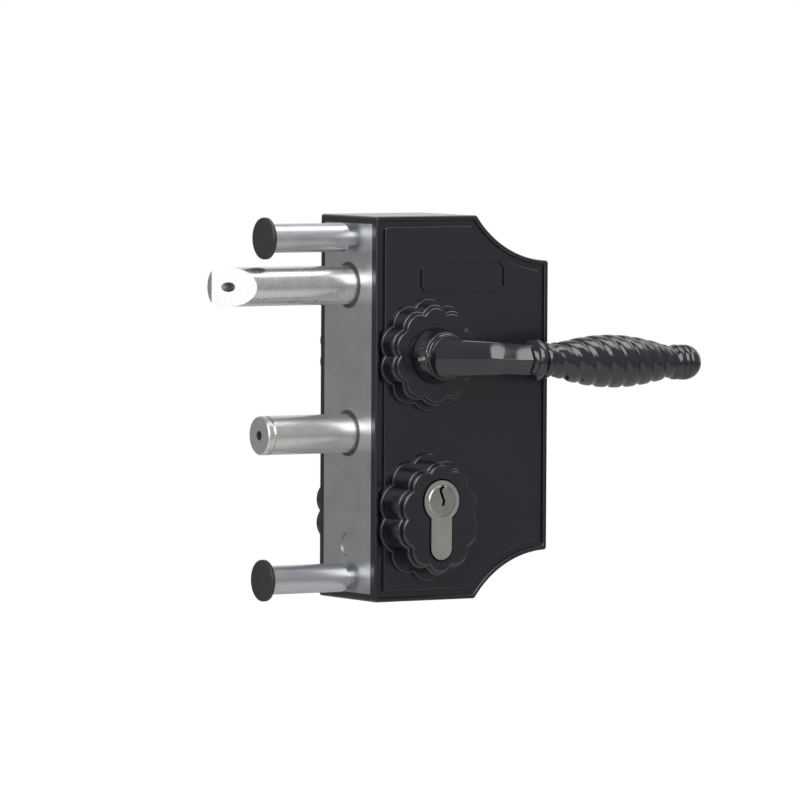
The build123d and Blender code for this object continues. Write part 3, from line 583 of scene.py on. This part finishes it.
def ring_profile(place, crest, half_length, base):
    """Places along the grip and radii over one rounded ring."""
    rise = crest - base
    radius = (half_length**2 + rise**2) / (2 * rise)
    spread = math.asin(min(1.0, half_length / radius))
    profile = []
    for step in range(ring_steps + 1):
        angle = spread * (2 * step / ring_steps - 1)
        profile.append((place + radius * math.sin(angle), crest - radius + radius * math.cos(angle)))
    return profile


grip_profile = [(grip_root, pole_radius), (grip_root, root_radius)]
for ring_sizes in rings_by_neck:
    grip_profile += ring_profile(*ring_sizes)
for step in range(swell_steps + 1):
    share = step / swell_steps
    radius = swell_low + swell_rise * math.sin(math.pi * share) ** swell_fullness
    grip_profile.append((swell_start + (swell_end - swell_start) * share, radius))
for ring_sizes in rings_by_knob:
    grip_profile += ring_profile(*ring_sizes)
for step in range(dome_steps + 1):
    angle = math.pi / 2 * step / dome_steps
    radius = max(pole_radius, dome_radius * math.cos(angle))
    grip_profile.append((dome_place + dome_radius * math.sin(angle), radius))

grip = bmesh.new()
bmesh.ops.create_circle(
    grip, cap_ends=True, segments=grip_segments, radius=pole_radius,
    matrix=Matrix.Rotation(math.pi / 2, 4, "Y"),
)
bmesh.ops.translate(grip, vec=(grip_root, 0, 0), verts=grip.verts)
rim = list(grip.edges)
for (x0, r0), (x1, r1) in zip(grip_profile, grip_profile[1:]):
    grown = bmesh.ops.extrude_edge_only(grip, edges=rim)["geom"]
    rim = picked(bmesh.types.BMEdge, grown)
    rim_verts = picked(bmesh.types.BMVert, grown)
    bmesh.ops.translate(grip, vec=(x1 - x0, 0, 0), verts=rim_verts)
    bmesh.ops.scale(grip, vec=(1, r1 / r0, r1 / r0), verts=rim_verts)
    twist = math.tau * (x1 - x0) / flute_lead
    bmesh.ops.rotate(grip, cent=(0, 0, 0), matrix=Matrix.Rotation(twist, 3, "X"), verts=rim_verts)
bmesh.ops.contextual_create(grip, geom=rim)
for vert in grip.verts:
    along = (vert.co.x - swell_start) / (swell_end - swell_start)
    if not 0 < along < 1:
        continue
    angle = math.atan2(-vert.co.y, vert.co.z) - math.tau * (vert.co.x - grip_root) / flute_lead
    fade = min(1.0, along / flute_fade, (1 - along) / flute_fade)
    cut = flute_depth * fade * ((1 + math.cos(angle * flute_starts)) / 2) ** flute_narrowness
    keep = 1 - cut / math.hypot(vert.co.y, vert.co.z)
    vert.co.y *= keep
    vert.co.z *= keep
grip_mesh = mesh_of(grip, "grip")
grip_mesh.transform(
    Matrix.Translation((grip_place[0] * MM, grip_place[1] * MM, turn_axis_z * MM))
    @ Matrix.Rotation(math.radians(sweep_back), 4, "Z")
)
mounted_levers("grip", hung(grip_mesh, front_droop), rear_copy(hung(grip_mesh, rear_droop)))


# Grub screws
# A bright stainless socket screw in the side of each hub. It is screwed in until it grips the spindle, which
# holds the lever on.

screw_steel = drawn_steel("screw_steel", (0.72, 0.72, 0.71), base_roughness=0.18)
dress(screw_steel, "front_grub_screw", "rear_grub_screw")


# Latch spring
# A coil of hardened wire between the latch carriage and the block behind it, which the latch squeezes
# against the block as it comes in. It is wound here as a piece of its own, in the place of the CAD spring.

spring_turns = 9
turn_steps = 24
wire_radius = 0.55
wire_segments = 12
spring_low, spring_high = (Vector(corner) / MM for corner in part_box("latch_spring"))
spring_middle = (spring_low + spring_high) / 2
free_length = spring_high.x - spring_low.x
coil_radius = (spring_high.z - spring_low.z) / 2 - wire_radius
coil_steps = spring_turns * turn_steps

spring = bmesh.new()
bmesh.ops.create_circle(
    spring, cap_ends=True, segments=wire_segments, radius=wire_radius,
    matrix=Matrix.Rotation(math.pi / 2, 4, "X"),
)
wire_start = (spring_low.x + wire_radius, spring_middle.y, spring_middle.z + coil_radius)
bmesh.ops.translate(spring, vec=wire_start, verts=spring.verts)
bmesh.ops.spin(
    spring, geom=list(spring.faces), cent=spring_middle, axis=(1, 0, 0), angle=math.tau * spring_turns,
    dvec=((free_length - 2 * wire_radius) / coil_steps, 0, 0), steps=coil_steps,
)
coil_mesh = mesh_of(spring, "latch_spring_coil")
spring_coil = mounted("latch_spring_coil", coil_mesh, hardened, "case", "latch_spring")
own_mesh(spring_coil)


# Floor, backdrop and light
# The lock hangs above a pale floor, with a strip of white paper on it and a wide sheet of the same paper
# standing far behind. A wide soft lamp and a dim low panel stand on the left in front, and another lamp
# hangs high on the right.

heading = math.radians(31.96)
floor_height = cad_box[0].z - 0.35
floor_half_size = 24.0
floor_middle_y = 20.0
floor_grey = (0.62, 0.62, 0.61)
paper_white = (0.88, 0.88, 0.88)
matt = {"Roughness": 0.9, "Specular IOR Level": 0.0}
# Cosine and sine of the headings of the strip's two edges, which open out behind the lock
strip_right_edge = (0.812, 0.584)
strip_left_edge = (0.875, 0.484)
strip_side_fade = (0.25, 0.45)
strip_near_fade = (1.0, 1.8)
strip_brightness = 0.70
backdrop_distance = 9.0
backdrop_half_width = 9.0
backdrop_half_height = 4.5
room_colour = (0.98, 0.99, 1.0, 1.0)
room_strength = 0.40


def stage_sheet(name, half_width, half_length, matrix, paper):
    """A flat sheet of the studio, laid or stood by its matrix."""
    shape = bmesh.new()
    bmesh.ops.create_grid(shape, x_segments=1, y_segments=1, size=1.0)
    bmesh.ops.scale(shape, vec=(half_width, half_length, 1.0), verts=shape.verts)
    bmesh.ops.transform(shape, matrix=matrix, verts=shape.verts)
    mesh = bpy.data.meshes.new(name)
    shape.to_mesh(mesh)
    shape.free()
    mesh.materials.append(paper)
    sheet = bpy.data.objects.new(name, mesh)
    scene.collection.objects.link(sheet)


def ramp(value, start, end, low, high):
    """A value that goes smoothly from low at start to high at end."""
    values = {"Value": value, "From Min": start, "From Max": end, "To Min": low, "To Max": high}
    return value.node("ShaderNodeMapRange", {"interpolation_type": "SMOOTHSTEP"}, values)


def seen_white(paper, place, share, strength, keep_shadow):
    """Shows paper white to the camera, to metal and to glass, over the given share of it."""
    tree = paper.node_tree
    ray = place.node("ShaderNodeLightPath", {}, {}, "Is Camera Ray")
    mirrored = ray.maths("MAXIMUM", ray.out("Is Glossy Ray"), ray.out("Is Transmission Ray"))
    seen = ray.maths("MAXIMUM", ray, mirrored)
    lit = Finish(tree, tree.nodes["Principled BSDF"].outputs[0])
    white = place.node("ShaderNodeEmission", {}, {"Color": (1, 1, 1, 1), "Strength": strength})
    if keep_shadow:
        white = place.node("ShaderNodeAddShader", {}, {0: lit, 1: white})
    shown = place.node("ShaderNodeMixShader", {}, {0: seen * share, 1: lit, 2: white})
    tree.links.new(shown.socket, tree.nodes["Material Output"].inputs["Surface"])


floor_paint, floor_at, floor_feed = new_finish("floor_paint", matt)
floor_x, floor_y = floor_at.along("X"), floor_at.along("Y")
right_of = floor_x * strip_right_edge[0] - floor_y * strip_right_edge[1]
left_of = floor_y * strip_left_edge[1] - floor_x * strip_left_edge[0]
behind = floor_x * math.sin(heading) + floor_y * math.cos(heading)
strip = ramp(right_of, *strip_side_fade, 1.0, 0.0) * ramp(left_of, *strip_side_fade, 1.0, 0.0)
strip = strip * ramp(behind, *strip_near_fade, 0.0, 1.0)
floor_feed("Base Color", strip.mixed(floor_grey, paper_white))
seen_white(floor_paint, floor_at, strip, strip_brightness, keep_shadow=True)
floor_place = Matrix.Translation((0, floor_middle_y, floor_height))
stage_sheet("floor", floor_half_size, floor_half_size, floor_place, floor_paint)

backdrop_paper, backdrop_at, _ = new_finish("backdrop_paper", {"Base Color": (*paper_white, 1.0), **matt})
seen_white(backdrop_paper, backdrop_at, share=1.0, strength=1.0, keep_shadow=False)
backdrop_place = (
    Matrix.Rotation(-heading, 4, "Z")
    @ Matrix.Translation((0, backdrop_distance, floor_height + backdrop_half_height))
    @ Matrix.Rotation(math.pi / 2, 4, "X")
)
stage_sheet("backdrop", backdrop_half_width, backdrop_half_height, backdrop_place, backdrop_paper)

room = bpy.data.worlds.new("room")
scene.world = room
room.use_nodes = True
room.node_tree.nodes["Background"].inputs["Color"].default_value = room_colour
room.node_tree.nodes["Background"].inputs["Strength"].default_value = room_strength


def soft_lamp(name, place, aim, width, height, power):
    """A rectangular lamp that faces the point it is aimed at."""
    lamp = bpy.data.lights.new(name, "AREA")
    lamp.shape = "RECTANGLE"
    lamp.size = width
    lamp.size_y = height
    lamp.energy = power
    holder = bpy.data.objects.new(name, lamp)
    holder.location = place
    holder.rotation_euler = (Vector(aim) - Vector(place)).to_track_quat("-Z", "Y").to_euler()
    scene.collection.objects.link(holder)


soft_lamp("left_lamp", (-0.57, -1.05, 0.86), aim=(0.03, -0.03, 0.03), width=1.75, height=1.15, power=23.0)
soft_lamp("low_panel", (-1.16, -0.78, 0.27), aim=(0.03, -0.03, 0.03), width=0.9, height=0.7, power=3.0)
soft_lamp("right_lamp", (0.62, -0.12, 1.12), aim=(0.03, -0.03, 0.0), width=0.6, height=1.2, power=6.8)


# Camera
# A long lens stands a little to the left of the lock and a little above it, and its picture is shifted and
# tilted as the photograph's is.

pitch, tilt = math.radians(3.07), math.radians(0.307)
distance = 3.3
pixels_per_metre = 2399.0
aim_point = Vector((0.012, 0.0, 0.0))
aim_pixel = (372.12, 406.71)
frame_pixels = 800
sensor = 36.0
farthest = 100.0
ahead = math.cos(pitch)
looking = Vector((math.sin(heading) * ahead, math.cos(heading) * ahead, -math.sin(pitch)))
level = Vector((math.cos(heading), -math.sin(heading), 0.0))
upward = level.cross(looking)
right = level * math.cos(tilt) + upward * math.sin(tilt)
top = upward * math.cos(tilt) - level * math.sin(tilt)
lens = bpy.data.cameras.new("camera")
lens.sensor_width = sensor
lens.lens = pixels_per_metre * distance / frame_pixels * sensor
lens.shift_x = (frame_pixels / 2 - aim_pixel[0]) / frame_pixels
lens.shift_y = (aim_pixel[1] - frame_pixels / 2) / frame_pixels
lens.clip_end = farthest
camera = bpy.data.objects.new("camera", lens)
turned = Matrix((right, top, -looking)).transposed().to_4x4()
camera.matrix_world = Matrix.Translation(aim_point - looking * distance) @ turned
scene.collection.objects.link(camera)
scene.camera = camera
scene.view_settings.view_transform = "Standard"
